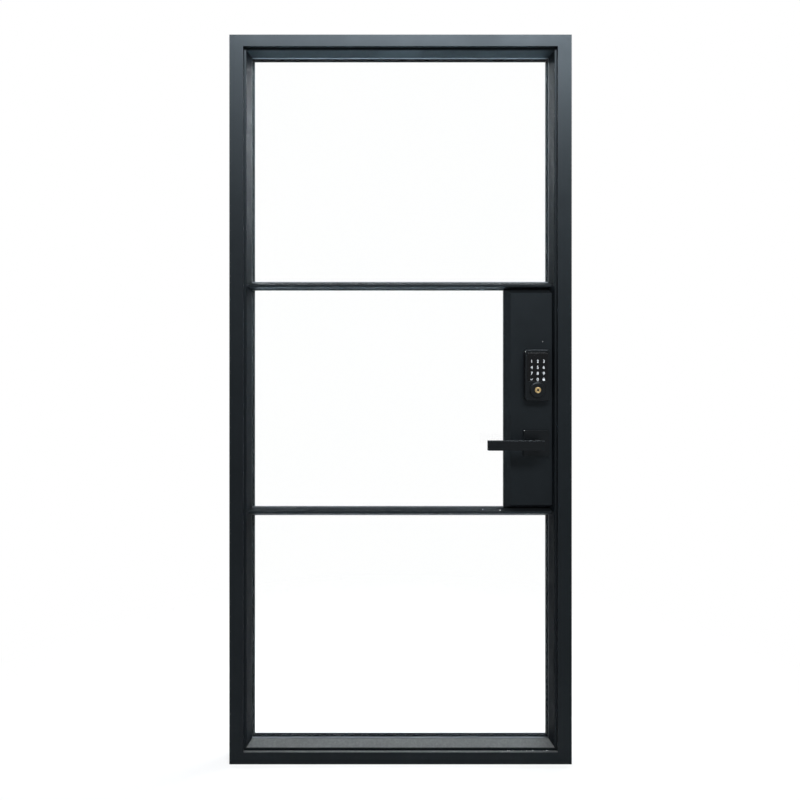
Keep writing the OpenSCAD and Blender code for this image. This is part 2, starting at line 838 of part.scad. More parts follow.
// The latch bolt's nose is cut away on the street side, so that it rides over the strike
module latch_bolt() {
    head_l = 16;
    lead = 1;
    tip = 2;
    rod_t = 5;
    rod_h = 8;
    rod_x = lock_x + hub_r + latch_throw;
    head_x = leaf_x - head_l;
    nose_x = leaf_x + latch_throw;
    color(metal_colour) placed() translate([0, lock_y, lever_z]) {
        translate([0, 0, -latch_h / 2]) linear_extrude(latch_h) polygon([
            [head_x, latch_t / 2], [nose_x, latch_t / 2], [nose_x, latch_t / 2 - tip],
            [leaf_x + lead, -latch_t / 2], [head_x, -latch_t / 2]
        ]);
        block([rod_x, -rod_t / 2, -rod_h / 2], [head_x + cut, rod_t / 2, rod_h / 2]);
    }
}
module deadbolt_bolt() {
    color(metal_colour) placed() translate([0, lock_y, bolt_z])
        block([leaf_x - bolt_l, -bolt_t / 2, -bolt_h / 2], [leaf_x, bolt_t / 2, bolt_h / 2]);
}

// Lever set
module through_places() {
    for (s = [-1, 1]) rotate([0, s * 30, 0]) translate([-through_pcd_r, 0, 0]) children();
}
module rose() {
    round_hole = neck_r + turn_fit;
    difference() {
        block([-rose_s / 2, -rose_t, -rose_s / 2], [rose_s / 2, 0, rose_s / 2]);
        round_y(0, 0, -rose_t - cut, cut, round_hole);
    }
}
through_grip = 5;
module rose_outer() {
    color(hardware_colour) placed() translate([lock_x, box_y, lever_z]) difference() {
        rose();
        through_places() round_y(0, 0, -through_grip, cut, through_hole_r);
    }
}
module rose_inner() {
    color(hardware_colour) placed() translate([lock_x, cover_y, lever_z]) difference() {
        mirror([0, 1, 0]) rose();
        through_places() round_y(0, 0, -cut, rose_t + cut, through_hole_r);
    }
}
neck_gap = 1;
spindle_gap = 0.5;
module spindle_socket(y0, y1) {
    half = spindle_s / 2 + pin_fit;
    block([-half, y0, -half], [half, y1, half]);
}
module lever_outer() {
    front = -lever_clear - lever_t;
    color(hardware_colour) placed() translate([lock_x, box_y, lever_z]) difference() {
        union() {
            block([-lever_l, front, -lever_h / 2], [lever_tail, -lever_clear, lever_h / 2]);
            round_y(0, 0, front + lever_t / 2, -neck_gap, neck_r);
        }
        spindle_socket(-lever_clear, cut);
    }
}
module knob_inner() {
    chamfer = 3;
    back = knob_clear + knob_t;
    color(hardware_colour) placed() translate([lock_x, cover_y, lever_z]) difference() {
        rotate([-90, 0, 0]) rotate_extrude() polygon([
            [0, neck_gap], [neck_r, neck_gap], [neck_r, knob_clear], [knob_r - chamfer, knob_clear],
            [knob_r, knob_clear + chamfer], [knob_r, back - chamfer], [knob_r - chamfer, back], [0, back]
        ]);
        spindle_socket(-cut, knob_clear);
    }
}
module spindle() {
    half = spindle_s / 2;
    y0 = box_y - lever_clear + spindle_gap;
    y1 = cover_y + knob_clear - spindle_gap;
    color(metal_colour) placed() translate([lock_x, 0, lever_z]) block([-half, y0, -half], [half, y1, half]);
}
module through_bolts() {
    color(metal_colour) placed() {
        translate([lock_x, 0, lever_z]) through_places()
            round_y(0, 0, box_y - through_grip, cover_y + rose_t, through_r);
        translate([lock_x, 0, bolt_z]) through_places() {
            round_y(0, 0, box_y - through_grip, cover_y, through_r);
            round_y(0, 0, cover_y, cover_y + through_head_t, through_r + through_head_lap);
        }
    }
}

// Keypad deadbolt, street side
keypad_y = box_y - keypad_d;
screen_gap = 1.5;
keypad_top = bolt_z + guard_r + screen_gap + screen_h + screen_margin;
keypad_z = keypad_top - keypad_h / 2;
screen_z = keypad_top - screen_margin - screen_h / 2;
screen_r = 4;
guard_seat = 3;
module frontal_at(x, z, y0, y1) {
    translate([x, 0, z]) frontal(y0, y1) children();
}
module keypad_housing() {
    w = keypad_wall;
    color(hardware_colour) placed() difference() {
        union() {
            difference() {
                frontal_at(lock_x, keypad_z, keypad_y, box_y) rounded_rect(keypad_w, keypad_h, keypad_r);
                frontal_at(lock_x, keypad_z, keypad_y + w, box_y + cut)
                    rounded_rect(keypad_w - 2 * w, keypad_h - 2 * w, keypad_r - w);
            }
            translate([lock_x, 0, bolt_z]) through_places()
                round_y(0, 0, keypad_y + w / 2, box_y, through_r + post_wall);
        }
        frontal_at(lock_x, screen_z, keypad_y - cut, keypad_y + screen_t)
            rounded_rect(screen_w + 2 * plate_fit, screen_h + 2 * plate_fit, screen_r + plate_fit);
        round_y(lock_x, bolt_z, keypad_y - cut, keypad_y + guard_seat, guard_r + plate_fit);
        round_y(lock_x, bolt_z, keypad_y, box_y, cylinder_r + plate_fit);
        translate([lock_x, 0, bolt_z]) through_places()
            round_y(0, 0, box_y - through_grip, box_y + cut, through_hole_r);
    }
}
module keypad_screen() {
    color(black_colour) placed() frontal_at(lock_x, screen_z, keypad_y, keypad_y + screen_t)
        rounded_rect(screen_w, screen_h, screen_r);
}
// Body of revolution about the key's axis, drawn as [radius, depth from the housing face]
module key_turned() {
    translate([lock_x, keypad_y, bolt_z]) rotate([-90, 0, 0]) rotate_extrude() children();
}
module cylinder_guard() {
    hole = cylinder_r + plate_fit;
    chamfer = guard_proud / 2;
    color(hardware_colour) placed() key_turned() polygon([
        [hole, guard_seat], [guard_r, guard_seat], [guard_r, chamfer - guard_proud],
        [guard_r - chamfer, -guard_proud], [hole, -guard_proud]
    ]);
}
plug_past = 4;
plug_l = keypad_d + plug_past;
module cylinder_body() {
    bore = plug_r + pin_fit;
    color(brass_colour) placed() key_turned() polygon([
        [bore, -guard_proud], [cylinder_r, -guard_proud], [cylinder_r, plug_l], [bore, plug_l]
    ]);
}
module key_plug() {
    key_slot_w = 2;
    key_slot_h = 8;
    color(brass_colour) placed() difference() {
        key_turned() polygon([
            [0, -guard_proud], [plug_r, -guard_proud], [plug_r, plug_l], [0, plug_l]
        ]);
        translate([lock_x, keypad_y - guard_proud, bolt_z])
            cube([key_slot_w, 2 * keypad_d, key_slot_h], center = true);
    }
}

// Keypad deadbolt, room side
inner_y = cover_y + inner_d;
turn_drop = 40;
inner_z0 = bolt_z - turn_drop;
inner_zc = inner_z0 + inner_h / 2;
inner_r = 8;
shaft_r = 5;
shelf_t = 2;
battery_count = 4;
battery_gap = 0.5;
battery_rise = 48;
battery_z0 = bolt_z + battery_rise;
battery_z1 = battery_z0 + battery_l;
battery_y = inner_y - inner_wall - battery_r - battery_gap;
battery_pitch = 2 * battery_r + battery_gap;
hatch_w = battery_count * battery_pitch + battery_gap;
hatch_zc = (battery_z0 + battery_z1) / 2;
hatch_lap = 3;
board_t = 1.6;
board_gap = 6;
board_y = cover_y + board_gap;
module inner_housing() {
    w = inner_wall;
    shelf_w = inner_w - w;
    color(hardware_colour) placed() difference() {
        union() {
            difference() {
                frontal_at(lock_x, inner_zc, cover_y, inner_y) rounded_rect(inner_w, inner_h, inner_r);
                frontal_at(lock_x, inner_zc, cover_y - cut, inner_y - w)
                    rounded_rect(inner_w - 2 * w, inner_h - 2 * w, inner_r - w);
            }
            for (z = [battery_z0 - battery_gap - shelf_t, battery_z1 + battery_gap])
                block([lock_x - shelf_w / 2, battery_y - battery_r, z],
                    [lock_x + shelf_w / 2, inner_y - w / 2, z + shelf_t]);
        }
        frontal_at(lock_x, hatch_zc, inner_y - w - cut, inner_y + cut)
            square([hatch_w, battery_l + 2 * battery_gap], center = true);
        round_y(lock_x, bolt_z, inner_y - w - cut, inner_y + cut, shaft_r + turn_fit);
    }
}
module battery_cover() {
    cover_lip = 2;
    color(hardware_colour) placed() frontal_at(lock_x, hatch_zc, inner_y, inner_y + cover_lip)
        rounded_rect(hatch_w + 2 * hatch_lap, battery_l + 4 * hatch_lap, hatch_lap);
}
module batteries() {
    first = -(battery_count - 1) / 2;
    color(metal_colour) placed() for (i = [0 : battery_count - 1])
        translate([lock_x + (first + i) * battery_pitch, battery_y, battery_z0])
            cylinder(h = battery_l, r = battery_r);
}
module circuit_board() {
    half = inner_w / 2 - inner_wall - box_fit;
    margin = 8;
    color(board_colour) placed() block([lock_x - half, board_y, battery_z0 - margin],
        [lock_x + half, board_y + board_t, battery_z1 + margin]);
}
module thumb_turn() {
    disc_t = 4;
    paddle_t = 8;
    shaft_in = 9;
    y0 = inner_y + turn_fit;
    slot_w = tail_w + 2 * pin_fit;
    slot_t = tail_t + 2 * pin_fit;
    color(hardware_colour) placed() difference() {
        union() {
            round_y(lock_x, bolt_z, y0, y0 + disc_t, turn_r);
            round_y(lock_x, bolt_z, y0 - shaft_in, y0 + cut, shaft_r);
            block([lock_x - paddle_t / 2, y0 + disc_t / 2, bolt_z - turn_r],
                [lock_x + paddle_t / 2, y0 + turn_d, bolt_z + turn_r]);
        }
        block([lock_x - slot_t / 2, y0 - shaft_in - cut, bolt_z - slot_w / 2],
            [lock_x + slot_t / 2, y0, bolt_z + slot_w / 2]);
    }
}
module tailpiece() {
    reach = 3;
    y0 = lock_y - case_t / 2 - reach;
    color(metal_colour) placed() block([lock_x - tail_t / 2, y0, bolt_z - tail_w / 2],
        [lock_x + tail_t / 2, inner_y - turn_fit, bolt_z + tail_w / 2]);
}

jamb_hinge();
jamb_lock();
head();
sill();
frame_seal();
latch_strike();
deadbolt_strike();
strike_screws();
hinge_bottom_frame_half();
hinge_middle_frame_half();
hinge_top_frame_half();
hinge_bottom_leaf_half();
hinge_middle_leaf_half();
hinge_top_leaf_half();
hinge_pins();
hinge_bearings();
stile_hinge();
stile_lock();
rail_top();
rail_bottom();
bar_upper();
bar_lower();
door_sweep();
glass_top();
glass_middle();
glass_bottom();
spacer_bars();
glazing_gaskets();
beads_top();
beads_middle();
beads_bottom();
setting_blocks();
lock_box();
lock_stile();
lock_box_cover();
cover_screws();
latch_case();
deadbolt_case();
latch_forend();
deadbolt_forend();
forend_screws();
latch_bolt();
deadbolt_bolt();
rose_outer();
rose_inner();
lever_outer();
knob_inner();
spindle();
through_bolts();
keypad_housing();
keypad_screen();
cylinder_guard();
cylinder_body();
key_plug();
inner_housing();
battery_cover();
batteries();
circuit_board();
thumb_turn();
tailpiece();
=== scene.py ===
import bpy, bmesh, json, math, random
from mathutils import Matrix, Vector
from mathutils.bvhtree import BVHTree


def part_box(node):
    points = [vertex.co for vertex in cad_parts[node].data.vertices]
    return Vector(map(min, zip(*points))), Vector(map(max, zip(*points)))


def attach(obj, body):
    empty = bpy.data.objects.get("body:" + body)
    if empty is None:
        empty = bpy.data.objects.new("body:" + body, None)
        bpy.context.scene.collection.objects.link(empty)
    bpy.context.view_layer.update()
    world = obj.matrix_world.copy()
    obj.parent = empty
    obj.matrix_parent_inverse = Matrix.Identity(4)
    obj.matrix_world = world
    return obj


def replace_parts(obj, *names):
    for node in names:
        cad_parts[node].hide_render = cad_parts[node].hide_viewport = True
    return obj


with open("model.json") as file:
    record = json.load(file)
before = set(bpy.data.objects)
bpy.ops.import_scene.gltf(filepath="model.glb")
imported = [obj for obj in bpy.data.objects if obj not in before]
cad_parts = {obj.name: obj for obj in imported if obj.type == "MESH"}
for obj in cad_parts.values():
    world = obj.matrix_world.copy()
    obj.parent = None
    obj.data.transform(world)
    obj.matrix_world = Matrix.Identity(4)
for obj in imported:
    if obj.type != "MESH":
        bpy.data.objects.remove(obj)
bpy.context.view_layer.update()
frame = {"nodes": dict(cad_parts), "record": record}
nodes = frame["nodes"]
record = frame["record"]
bodyOf = {name: body for body, members in record["behaviour"]["bodies"].items() for name in members}
slotOf = {part["node"]: part["material_slot"] for part in record["subparts"]}
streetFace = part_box("head")[0].y
scene = bpy.context.scene
scene.view_settings.view_transform = "Standard"
print("frame loaded:", len(nodes), "nodes")

# camera, square on to the street face
shot = {"x": -0.041, "away": 2.0, "height": 1.196, "lens": 31.94, "sensor": 36.0,
        "shiftX": 0.0175, "shiftY": -0.075}
cameraData = bpy.data.cameras.new("photoCamera")
cameraData.lens = shot["lens"]
cameraData.sensor_width = shot["sensor"]
cameraData.shift_x = shot["shiftX"]
cameraData.shift_y = shot["shiftY"]
camera = bpy.data.objects.new("photoCamera", cameraData)
camera.location = (shot["x"], streetFace - shot["away"], shot["height"])
camera.rotation_euler = (math.radians(90), 0, 0)
scene.collection.objects.link(camera)
scene.camera = camera

# soft lamps: banks in front and overhead, two in the room, and two that only glossy faces show
lampColour = (0.90, 0.95, 1.0)
lamps = [
    {"name": "frontBank", "place": (0.5, -2.6, 3.5), "aim": (0, 0, 1.7), "size": (2.2, 0.7), "watts": 115},
    {"name": "sheenBank", "place": (0.3, -2.6, 3.55), "aim": (0, 0, 1.8), "size": (3.2, 0.7), "watts": 480,
     "glossOnly": True},
    {"name": "floorSheen", "place": (0, 0.5, 0.02), "aim": (0, 0, 2.02), "size": (1.7, 0.4), "watts": 38,
     "glossOnly": True, "spread": 50, "colour": (0.66, 0.84, 1.0)},
    {"name": "topBank", "place": (0, 0.5, 3.4), "aim": (0, 0.2, 0), "size": (2.4, 0.7), "watts": 55},
    {"name": "roomLeft", "place": (-1.6, 2.2, 2.8), "aim": (0, 0, 1.4), "size": (1.4, 1.0), "watts": 44},
    {"name": "roomRight", "place": (2.1, 1.6, 2.75), "aim": (-0.4, 0, 1.8), "size": (1.4, 1.3), "watts": 92},
]
for lamp in lamps:
    data = bpy.data.lights.new(lamp["name"], "AREA")
    data.shape = "RECTANGLE"
    data.size, data.size_y = lamp["size"]
    data.energy = lamp["watts"]
    data.spread = math.radians(lamp.get("spread", 180))
    data.color = lamp.get("colour", lampColour)
    bulb = bpy.data.objects.new(lamp["name"], data)
    bulb.location = lamp["place"]
    bulb.rotation_euler = (Vector(lamp["aim"]) - Vector(lamp["place"])).to_track_quat("-Z", "Y").to_euler()
    bulb.visible_camera = False
    bulb.visible_diffuse = not lamp.get("glossOnly", False)
    scene.collection.objects.link(bulb)


def seenDirectly(tree):  # 1 for camera, mirror and see-through rays
    path = tree.nodes.new("ShaderNodeLightPath")
    first = tree.nodes.new("ShaderNodeMath")
    first.operation = "MAXIMUM"
    tree.links.new(path.outputs["Is Camera Ray"], first.inputs[0])
    tree.links.new(path.outputs["Is Glossy Ray"], first.inputs[1])
    second = tree.nodes.new("ShaderNodeMath")
    second.operation = "MAXIMUM"
    tree.links.new(first.outputs[0], second.inputs[0])
    tree.links.new(path.outputs["Is Transmission Ray"], second.inputs[1])
    return second.outputs[0]


# white behind the door, and a dimmer light from all round on it
surround = {"white": 1.0, "light": 0.25, "tint": (0.93, 0.97, 1.0, 1)}
world = bpy.data.worlds.new("studio")
scene.world = world
world.use_nodes = True
tree = world.node_tree
dimBack = tree.nodes["Background"]
dimBack.inputs["Color"].default_value = surround["tint"]
dimBack.inputs["Strength"].default_value = surround["light"]
whiteBack = tree.nodes.new("ShaderNodeBackground")
whiteBack.inputs["Color"].default_value = (1, 1, 1, 1)
whiteBack.inputs["Strength"].default_value = surround["white"]
pick = tree.nodes.new("ShaderNodeMixShader")
tree.links.new(seenDirectly(tree), pick.inputs["Fac"])
tree.links.new(dimBack.outputs[0], pick.inputs[1])
tree.links.new(whiteBack.outputs[0], pick.inputs[2])
tree.links.new(pick.outputs[0], tree.nodes["World Output"].inputs["Surface"])

# floor that keeps a soft shadow near the door and is white further out
floorShape = {"half": 7.0, "drop": 0.0004, "colour": (0.86, 0.86, 0.86, 1), "roughness": 0.9, "gloss": 0.1,
              "shadowShare": 0.22, "fadeFrom": 0.5, "fadeTo": 1.6}
mesh = bpy.data.meshes.new("floor")
bm = bmesh.new()
bmesh.ops.create_grid(bm, x_segments=1, y_segments=1, size=floorShape["half"])
bmesh.ops.translate(bm, verts=bm.verts, vec=(0, 0, -floorShape["drop"]))
bm.to_mesh(mesh)
bm.free()
floor = bpy.data.objects.new("floor", mesh)
scene.collection.objects.link(floor)
floorPaint = bpy.data.materials.new("paleFloor")
floorPaint.use_nodes = True
tree = floorPaint.node_tree
matte = tree.nodes["Principled BSDF"]
matte.inputs["Base Color"].default_value = floorShape["colour"]
matte.inputs["Roughness"].default_value = floorShape["roughness"]
matte.inputs["Specular IOR Level"].default_value = floorShape["gloss"]
glow = tree.nodes.new("ShaderNodeEmission")
glow.inputs["Strength"].default_value = surround["white"]
spot = tree.nodes.new("ShaderNodeTexCoord")
reach = tree.nodes.new("ShaderNodeVectorMath")
reach.operation = "LENGTH"
tree.links.new(spot.outputs["Object"], reach.inputs[0])
fade = tree.nodes.new("ShaderNodeMapRange")
fade.interpolation_type = "SMOOTHSTEP"
fade.inputs["From Min"].default_value = floorShape["fadeFrom"]
fade.inputs["From Max"].default_value = floorShape["fadeTo"]
fade.inputs["To Min"].default_value = 1 - floorShape["shadowShare"]
fade.inputs["To Max"].default_value = 1.0
tree.links.new(reach.outputs["Value"], fade.inputs["Value"])
share = tree.nodes.new("ShaderNodeMath")
share.operation = "MULTIPLY"
tree.links.new(seenDirectly(tree), share.inputs[0])
tree.links.new(fade.outputs[0], share.inputs[1])
pick = tree.nodes.new("ShaderNodeMixShader")
tree.links.new(share.outputs[0], pick.inputs["Fac"])
tree.links.new(matte.outputs[0], pick.inputs[1])
tree.links.new(glow.outputs[0], pick.inputs[2])
tree.links.new(pick.outputs[0], tree.nodes["Material Output"].inputs["Surface"])
mesh.materials.append(floorPaint)
print("camera, lamps and floor set")


# material building blocks
def startMaterial(name):
    paint = bpy.data.materials.new(name)
    paint.use_nodes = True
    tree = paint.node_tree
    spot = tree.nodes.new("ShaderNodeTexCoord")
    return paint, tree, tree.nodes["Principled BSDF"], spot.outputs["Object"]


def noise(tree, spot, scale, detail=2.0, rough=0.5, stretch=None):
    if stretch:
        turn = tree.nodes.new("ShaderNodeMapping")
        turn.inputs["Scale"].default_value = stretch
        tree.links.new(spot, turn.inputs["Vector"])
        spot = turn.outputs[0]
    grain = tree.nodes.new("ShaderNodeTexNoise")
    grain.inputs["Scale"].default_value = scale
    grain.inputs["Detail"].default_value = detail
    grain.inputs["Roughness"].default_value = rough
    tree.links.new(spot, grain.inputs["Vector"])
    return grain.outputs["Fac"]


def spread(tree, value, low, high, lowOut, highOut):
    step = tree.nodes.new("ShaderNodeMapRange")
    step.inputs["From Min"].default_value = low
    step.inputs["From Max"].default_value = high
    step.inputs["To Min"].default_value = lowOut
    step.inputs["To Max"].default_value = highOut
    tree.links.new(value, step.inputs["Value"])
    return step.outputs[0]


def mixColour(tree, share, first, second):
    blend = tree.nodes.new("ShaderNodeMix")
    blend.data_type = "RGBA"
    tree.links.new(share, blend.inputs["Factor"])
    for socket, value in ((blend.inputs[6], first), (blend.inputs[7], second)):
        if isinstance(value, tuple):
            socket.default_value = (*value, 1)
        else:
            tree.links.new(value, socket)
    return blend.outputs[2]


def multiply(tree, first, second):
    step = tree.nodes.new("ShaderNodeMath")
    step.operation = "MULTIPLY"
    tree.links.new(first, step.inputs[0])
    if isinstance(second, float):
        step.inputs[1].default_value = second
    else:
        tree.links.new(second, step.inputs[1])
    return step.outputs[0]


def bump(tree, shader, height, strength, distance):
    rise = tree.nodes.new("ShaderNodeBump")
    rise.inputs["Strength"].default_value = strength
    rise.inputs["Distance"].default_value = distance
    tree.links.new(height, rise.inputs["Height"])
    tree.links.new(rise.outputs[0], shader.inputs["Normal"])


def lying(tree, low, high):  # how far a surface faces up
    facing = tree.nodes.new("ShaderNodeNewGeometry")
    parts = tree.nodes.new("ShaderNodeSeparateXYZ")
    tree.links.new(facing.outputs["Normal"], parts.inputs[0])
    return spread(tree, parts.outputs["Z"], low, high, 0.0, 1.0)


def heightOf(tree, spot):
    parts = tree.nodes.new("ShaderNodeSeparateXYZ")
    tree.links.new(spot, parts.inputs[0])
    return parts.outputs["Z"]


# dust and painted top light lie on faces that face up below the given top height, and only a given share of
# them is left higher up
# each coat's tint colours its reflections bluish: a painted blue of the light it mirrors
coat = {
    "dark": (0.0042, 0.0054, 0.0064), "light": (0.0064, 0.0080, 0.0092), "dust": (0.19, 0.19, 0.185),
    "roughness": (0.36, 0.43), "gloss": 0.105, "tint": (0.80, 0.92, 1.0, 1),
    "dustAndTopLightShare": 0.42, "dustAndTopLightAbove": 0.06, "dustAndTopLightTop": (0.052, 0.0565),
    "cloudScale": 2.6, "dirtScale": 130.0, "smearScale": 9.0, "peelScale": 900.0,
}
beadCoat = dict(coat, gloss=0.042, dustAndTopLightShare=0.60, dustAndTopLightAbove=0.05)  # the beads are duller than the frame, and get more dust and painted top light
hardware = dict(coat, dark=(0.0030, 0.0037, 0.0043), light=(0.0048, 0.0056, 0.0063),
                dust=(0.17, 0.17, 0.165), roughness=(0.27, 0.34), gloss=0.11, tint=(0.86, 0.94, 1.0, 1),
                dustAndTopLightShare=0.20, dustAndTopLightAbove=0.5)


def powderCoat(name, values):
    paint, tree, shader, spot = startMaterial(name)
    cloud = noise(tree, spot, values["cloudScale"], 4.0, 0.6)
    colour = mixColour(tree, spread(tree, cloud, 0.35, 0.65, 0.0, 1.0), values["dark"], values["light"])
    dirt = noise(tree, spot, values["dirtScale"], 5.0, 0.7)
    # painted top light, partly real dust: faces that face up are lightened towards the dust colour
    dustAndTopLight = multiply(tree, lying(tree, 0.55, 0.98), spread(tree, dirt, 0.40, 0.72, 0.72, 1.0))
    low, high = values["dustAndTopLightTop"]
    lowDown = spread(tree, heightOf(tree, spot), low, high, 1.0, values["dustAndTopLightAbove"])
    dustAndTopLight = multiply(tree, dustAndTopLight, lowDown)
    shader.inputs["Specular IOR Level"].default_value = values["gloss"]
    # painted reflected light: the specular tint gives the coat's sheen the blue of the light
    shader.inputs["Specular Tint"].default_value = values["tint"]
    colour = mixColour(tree, multiply(tree, dustAndTopLight, values["dustAndTopLightShare"]), colour, values["dust"])
    tree.links.new(colour, shader.inputs["Base Color"])
    smear = noise(tree, spot, values["smearScale"], 3.0, 0.6)
    low, high = values["roughness"]
    tree.links.new(spread(tree, smear, 0.3, 0.7, low, high), shader.inputs["Roughness"])
    peel = noise(tree, spot, values["peelScale"], 2.0, 0.5)  # fine orange peel of the baked coat
    bump(tree, shader, peel, 0.05, 0.0002)
    return paint


seal = {"dark": (0.006, 0.006, 0.0065), "light": (0.016, 0.016, 0.017), "roughness": (0.62, 0.80),
        "gloss": 0.25}


def rubber():
    paint, tree, shader, spot = startMaterial("sealRubber")
    cloud = noise(tree, spot, 40.0, 4.0, 0.6)
    tree.links.new(mixColour(tree, cloud, seal["dark"], seal["light"]), shader.inputs["Base Color"])
    low, high = seal["roughness"]
    tree.links.new(spread(tree, cloud, 0.3, 0.7, low, high), shader.inputs["Roughness"])
    shader.inputs["Specular IOR Level"].default_value = seal["gloss"]
    bump(tree, shader, noise(tree, spot, 900.0, 2.0), 0.15, 0.0002)
    return paint


pane = {"dark": (0.990, 0.997, 0.995), "light": (1.0, 1.0, 1.0), "shadow": (0.95, 0.97, 0.965, 1),
        "bend": 1.16, "roughness": 0.0}  # a low bend keeps the reflections as weak as in the photo


def clearGlass():
    paint, tree, shader, spot = startMaterial("clearGlass")
    shader.inputs["Transmission Weight"].default_value = 1.0
    shader.inputs["IOR"].default_value = pane["bend"]
    shader.inputs["Roughness"].default_value = pane["roughness"]
    film = noise(tree, spot, 3.0, 3.0, 0.6)
    tree.links.new(mixColour(tree, film, pane["dark"], pane["light"]), shader.inputs["Base Color"])
    path = tree.nodes.new("ShaderNodeLightPath")
    through = tree.nodes.new("ShaderNodeBsdfTransparent")
    through.inputs["Color"].default_value = pane["shadow"]
    pick = tree.nodes.new("ShaderNodeMixShader")
    tree.links.new(path.outputs["Is Shadow Ray"], pick.inputs["Fac"])
    tree.links.new(shader.outputs[0], pick.inputs[1])
    tree.links.new(through.outputs[0], pick.inputs[2])
    tree.links.new(pick.outputs[0], tree.nodes["Material Output"].inputs["Surface"])
    return paint


def metal(name, dark, light, roughness, scale, stretch):
    paint, tree, shader, spot = startMaterial(name)
    shader.inputs["Metallic"].default_value = 1.0
    lines = noise(tree, spot, scale, 3.0, 0.6, stretch)
    tree.links.new(mixColour(tree, lines, dark, light), shader.inputs["Base Color"])
    tree.links.new(spread(tree, lines, 0.3, 0.7, roughness[0], roughness[1]), shader.inputs["Roughness"])
    bump(tree, shader, lines, 0.08, 0.0002)
    return paint


screenGlass = {"dark": (0.0018, 0.0022, 0.0027), "light": (0.0040, 0.0046, 0.0054),
               "roughness": (0.10, 0.20), "gloss": 0.12}


def touchGlass():
    paint, tree, shader, spot = startMaterial("touchGlass")
    wiped = noise(tree, spot, 95.0, 4.0, 0.7)
    colour = mixColour(tree, wiped, screenGlass["dark"], screenGlass["light"])
    tree.links.new(colour, shader.inputs["Base Color"])
    low, high = screenGlass["roughness"]
    tree.links.new(spread(tree, wiped, 0.35, 0.75, low, high), shader.inputs["Roughness"])
    shader.inputs["Specular IOR Level"].default_value = screenGlass["gloss"]
    return paint


figureLight = {"dark": (0.62, 0.64, 0.66), "light": (0.80, 0.82, 0.84), "roughness": 0.35,
               "glow": (0.9, 0.95, 1.0, 1), "strength": 0.25}


def litFigures():
    paint, tree, shader, spot = startMaterial("litFigures")
    uneven = noise(tree, spot, 400.0, 2.0)
    colour = mixColour(tree, uneven, figureLight["dark"], figureLight["light"])
    tree.links.new(colour, shader.inputs["Base Color"])
    shader.inputs["Roughness"].default_value = figureLight["roughness"]
    shader.inputs["Emission Color"].default_value = figureLight["glow"]
    shader.inputs["Emission Strength"].default_value = figureLight["strength"]
    return paint


def plastic(name, dark, light, roughness):
    paint, tree, shader, spot = startMaterial(name)
    grain = noise(tree, spot, 120.0, 4.0, 0.6)
    tree.links.new(mixColour(tree, grain, dark, light), shader.inputs["Base Color"])
    tree.links.new(spread(tree, grain, 0.3, 0.7, roughness[0], roughness[1]), shader.inputs["Roughness"])
    bump(tree, shader, noise(tree, spot, 700.0, 2.0), 0.05, 0.0002)
    return paint


finishes = {
    "coated_steel": powderCoat("coatedSteel", coat),
    "black_hardware": powderCoat("blackHardware", hardware),
    "black_rubber": rubber(),
    "clear_glass": clearGlass(),
    "spacer_aluminium": metal("spacerAluminium", (0.120, 0.130, 0.140), (0.160, 0.170, 0.180), (0.34, 0.50),
                              300.0, (1, 1, 1)),
    "bright_steel": metal("brightSteel", (0.30, 0.30, 0.295), (0.44, 0.44, 0.43), (0.26, 0.42),
                          180.0, (1, 1, 9)),
    "brass": metal("brass", (0.30, 0.21, 0.09), (0.46, 0.34, 0.17), (0.22, 0.36), 260.0, (1, 4, 1)),
    "touch_screen": touchGlass(),
    "battery_sleeve": plastic("batterySleeve", (0.07, 0.08, 0.09), (0.12, 0.13, 0.14), (0.25, 0.35)),
    "board": plastic("circuitBoard", (0.012, 0.085, 0.035), (0.03, 0.15, 0.07), (0.35, 0.5)),
}
figures = litFigures()
beadFinish = powderCoat("coatedBeads", beadCoat)
speckPaint = plastic("paleSpecks", (0.60, 0.60, 0.58), (0.82, 0.82, 0.80), (0.8, 0.95))


def finishOf(name):  # the beads share the steel's slot, in a duller coat
    return beadFinish if name.startswith("beads") else finishes[slotOf[name]]


for name, node in nodes.items():
    node.data.materials.clear()
    node.data.materials.append(finishOf(name))
print("finishes made:", len(finishes) + len((figures, beadFinish, speckPaint)))


# what the pieces below share
def addPiece(name, bm, body, paint, slot):
    mesh = bpy.data.meshes.new(name)
    bm.to_mesh(mesh)
    bm.free()
    piece = bpy.data.objects.new(name, mesh)
    scene.collection.objects.link(piece)
    mesh.materials.append(paint)
    level = piece.modifiers.new("flatFaces", "WEIGHTED_NORMAL")
    level.keep_sharp = True
    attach(piece, body)
    return piece


mend = {"double": 2e-6, "flatDegrees": 0.6, "onFace": 2e-5}


def mergedCopy(name):  # a CAD node's triangles joined into flat faces
    bm = bmesh.new()
    bm.from_mesh(nodes[name].data)
    bmesh.ops.remove_doubles(bm, verts=bm.verts, dist=mend["double"])
    bmesh.ops.dissolve_limit(bm, angle_limit=math.radians(mend["flatDegrees"]), verts=bm.verts,
                             edges=bm.edges)
    return bm


def sharpEdges(bm, degrees=35):
    return [e for e in bm.edges if len(e.link_faces) == 2 and e.calc_face_angle(0) > math.radians(degrees)]


def easeEdges(bm, edges, width, segments):
    bmesh.ops.bevel(bm, geom=edges, offset=width, offset_type="OFFSET", segments=segments, profile=0.5,
                    affect="EDGES", clamp_overlap=True, material=-1)


def smoothShade(bm, degrees=40):
    for face in bm.faces:
        face.smooth = True
    for edge in bm.edges:
        edge.smooth = len(edge.link_faces) == 2 and edge.calc_face_angle(0) < math.radians(degrees)


def onMitre(edge):  # the welded mitres are ground flush, so their edges stay as they are
    return any(min(abs(face.normal.x), abs(face.normal.z)) > 0.5 for face in edge.link_faces)


